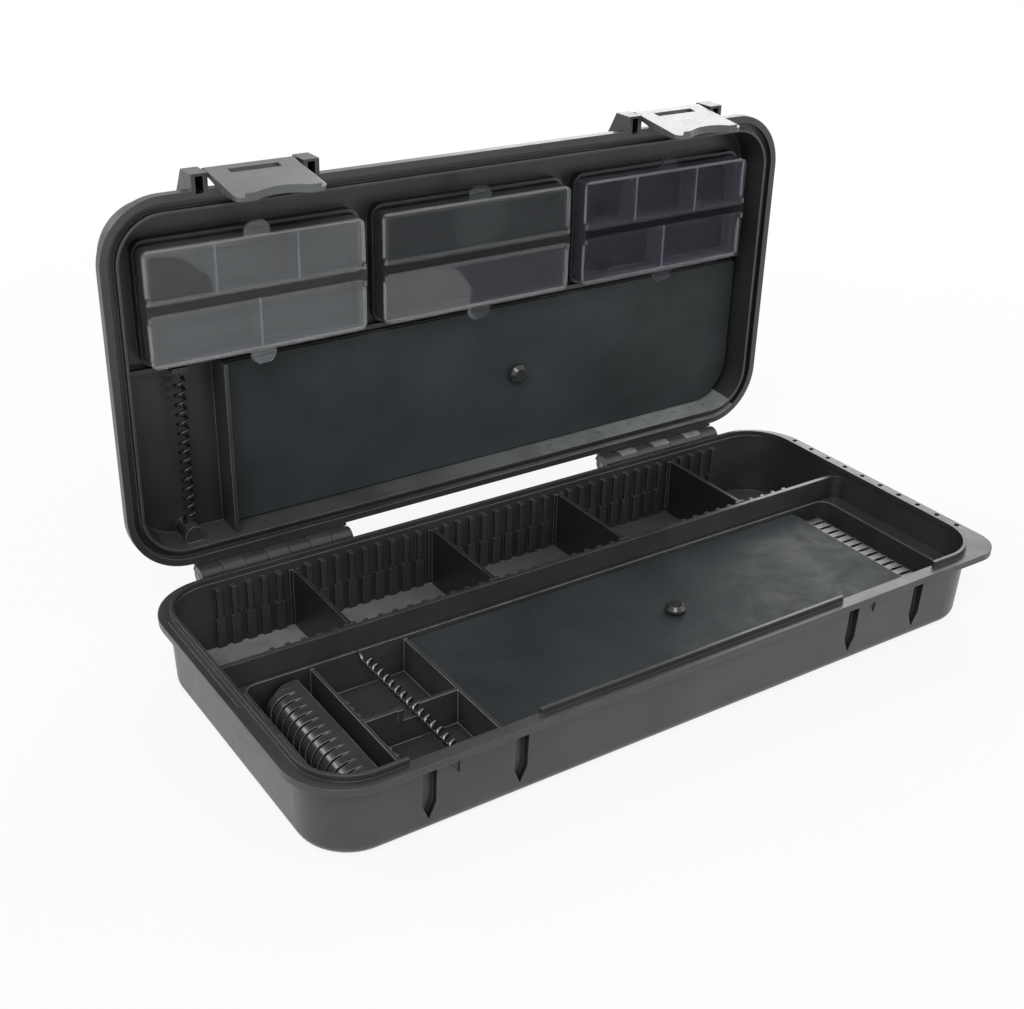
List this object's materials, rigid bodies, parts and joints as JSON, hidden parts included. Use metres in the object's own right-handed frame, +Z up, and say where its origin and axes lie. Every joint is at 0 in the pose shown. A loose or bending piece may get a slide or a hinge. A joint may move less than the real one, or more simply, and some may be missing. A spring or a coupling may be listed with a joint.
{
  "type": "fishing tackle box",
  "caption": "Shallow hinged tackle box standing open: divided rear bay, front tray with line combs and coil, lift-out covers, snap latches and clear-lidded boxes in the lid.",
  "frame": {"origin": "centre of the flat underside of the base", "axes": "+X along the hinge line to the right seen from the latch side, +Y from the latch side to the hinges, +Z up; the lid stands open"},
  "size_m": [0.3515, 0.1886, 0.2062],
  "materials": {
    "shell": "moulded, fine satin texture",
    "latch": "moulded, satin",
    "plate": "matte rubbery sheet",
    "knob": "satin moulded",
    "pin": "drawn wire",
    "bright_spring": "drawn spring wire",
    "black_spring": "black coated spring wire",
    "clear": "clear polished moulding"
  },
  "bodies": {
    "base": {"base_shell": "shell", "front_tray": "shell", "base_hook_spring": "bright_spring", "hinge_pin_left": "pin", "hinge_pin_right": "pin"},
    "lid": {"lid_shell": "shell", "lid_hook_spring": "black_spring", "latch_pin_left": "pin", "latch_pin_right": "pin"},
    "base_cover": {"base_cover_plate": "plate", "base_cover_knob": "knob"},
    "lid_cover": {"lid_cover_plate": "plate", "lid_cover_knob": "knob"},
    "latch_left": {"latch_flap_left": "latch"},
    "latch_right": {"latch_flap_right": "latch"},
    "divider_1": {"divider_1": "shell"},
    "divider_2": {"divider_2": "shell"},
    "divider_3": {"divider_3": "shell"},
    "divider_4": {"divider_4": "shell"},
    "box_1": {"box_tray_1": "clear"},
    "box_1_upper_lid": {"box_lid_upper_1": "clear"},
    "box_1_lower_lid": {"box_lid_lower_1": "clear"},
    "box_2": {"box_tray_2": "clear"},
    "box_2_upper_lid": {"box_lid_upper_2": "clear"},
    "box_2_lower_lid": {"box_lid_lower_2": "clear"},
    "box_3": {"box_tray_3": "clear"},
    "box_3_upper_lid": {"box_lid_upper_3": "clear"},
    "box_3_lower_lid": {"box_lid_lower_3": "clear"}
  },
  "joints": [
    {"name": "lid_hinge", "type": "hinge", "parent": "base", "child": "lid", "pos_m": [0, 0.0868, 0.0324], "axis": [1, 0, 0], "range_deg": [0, 90]},
    {"name": "latch_left", "type": "hinge", "parent": "lid", "child": "latch_left", "pos_m": [-0.1063, 0.097, 0.204], "axis": [1, 0, 0], "range_deg": [-110, 6.5]},
    {"name": "latch_right", "type": "hinge", "parent": "lid", "child": "latch_right", "pos_m": [0.1063, 0.097, 0.204], "axis": [1, 0, 0], "range_deg": [-110, 6.5]},
    {"name": "base_cover_lift", "type": "slide", "parent": "base", "child": "base_cover", "axis": [0, 0, -1], "range_m": [-0.03, 0]},
    {"name": "lid_cover_pull", "type": "slide", "parent": "lid", "child": "lid_cover", "axis": [0, 1, 0], "range_m": [-0.015, 0]},
    {"name": "divider_1_lift", "type": "slide", "parent": "base", "child": "divider_1", "axis": [0, 0, -1], "range_m": [-0.04, 0]},
    {"name": "divider_2_lift", "type": "slide", "parent": "base", "child": "divider_2", "axis": [0, 0, -1], "range_m": [-0.04, 0]},
    {"name": "divider_3_lift", "type": "slide", "parent": "base", "child": "divider_3", "axis": [0, 0, -1], "range_m": [-0.04, 0]},
    {"name": "divider_4_lift", "type": "slide", "parent": "base", "child": "divider_4", "axis": [0, 0, -1], "range_m": [-0.04, 0]},
    {"name": "box_1_pull", "type": "slide", "parent": "lid", "child": "box_1", "axis": [0, 1, 0], "range_m": [-0.02, 0]},
    {"name": "box_1_upper_lid", "type": "hinge", "parent": "box_1", "child": "box_1_upper_lid", "pos_m": [-0.1065, 0.0916, 0.15625], "axis": [-1, 0, 0], "range_deg": [-90, 0]},
    {"name": "box_1_lower_lid", "type": "hinge", "parent": "box_1", "child": "box_1_lower_lid", "pos_m": [-0.1065, 0.0916, 0.15045], "axis": [1, 0, 0], "range_deg": [-90, 0]},
    {"name": "box_2_pull", "type": "slide", "parent": "lid", "child": "box_2", "axis": [0, 1, 0], "range_m": [-0.02, 0]},
    {"name": "box_2_upper_lid", "type": "hinge", "parent": "box_2", "child": "box_2_upper_lid", "pos_m": [0, 0.0916, 0.15625], "axis": [-1, 0, 0], "range_deg": [-90, 0]},
    {"name": "box_2_lower_lid", "type": "hinge", "parent": "box_2", "child": "box_2_lower_lid", "pos_m": [0, 0.0916, 0.15045], "axis": [1, 0, 0], "range_deg": [-90, 0]},
    {"name": "box_3_pull", "type": "slide", "parent": "lid", "child": "box_3", "axis": [0, 1, 0], "range_m": [-0.02, 0]},
    {"name": "box_3_upper_lid", "type": "hinge", "parent": "box_3", "child": "box_3_upper_lid", "pos_m": [0.1065, 0.0916, 0.15625], "axis": [-1, 0, 0], "range_deg": [-90, 0]},
    {"name": "box_3_lower_lid", "type": "hinge", "parent": "box_3", "child": "box_3_lower_lid", "pos_m": [0.1065, 0.0916, 0.15045], "axis": [1, 0, 0], "range_deg": [-90, 0]}
  ]
}
